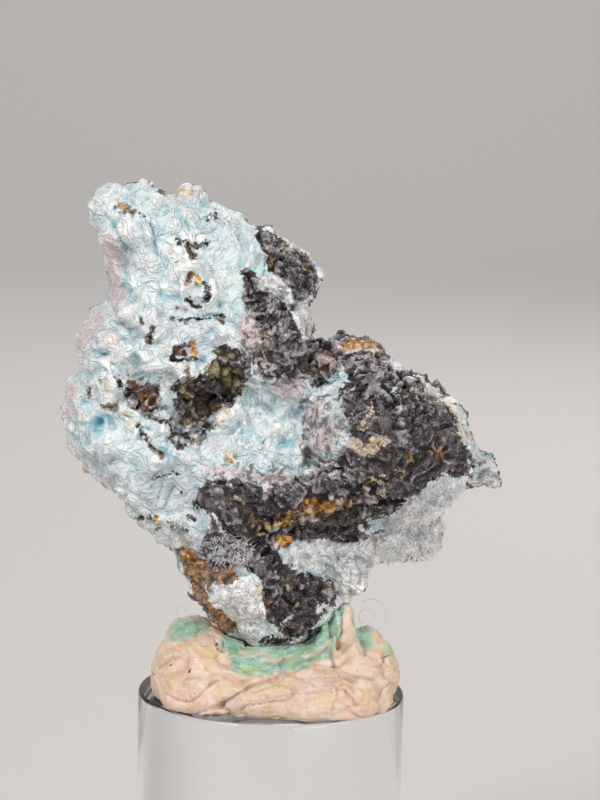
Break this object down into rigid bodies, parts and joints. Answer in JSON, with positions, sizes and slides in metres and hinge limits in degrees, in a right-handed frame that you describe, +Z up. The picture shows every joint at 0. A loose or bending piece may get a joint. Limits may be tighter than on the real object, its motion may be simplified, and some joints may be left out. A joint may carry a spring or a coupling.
{
  "type": "gibbsite specimen",
  "caption": "Pale blue and white gibbsite crust over black manganese oxide, held upright by soft putty on the end of a clear round rod.",
  "frame": {"origin": "middle of the rod's flat lower end", "axes": "+Z up along the rod, -Y towards the stone's finished front face, +X to the right as seen from the front"},
  "size_m": [0.0492, 0.03, 0.0974],
  "materials": {
    "gibbsite_stone": "knobbly pale blue and white crust over rough black-brown matrix, satin to dull",
    "mounting_putty": "kneaded soft putty, beige-pink with mint green streaks, dull",
    "clear_rod": "clear polished acrylic"
  },
  "bodies": {
    "root": {"gibbsite_stone": "gibbsite_stone", "mounting_putty": "mounting_putty", "clear_rod": "clear_rod"}
  },
  "joints": []
}
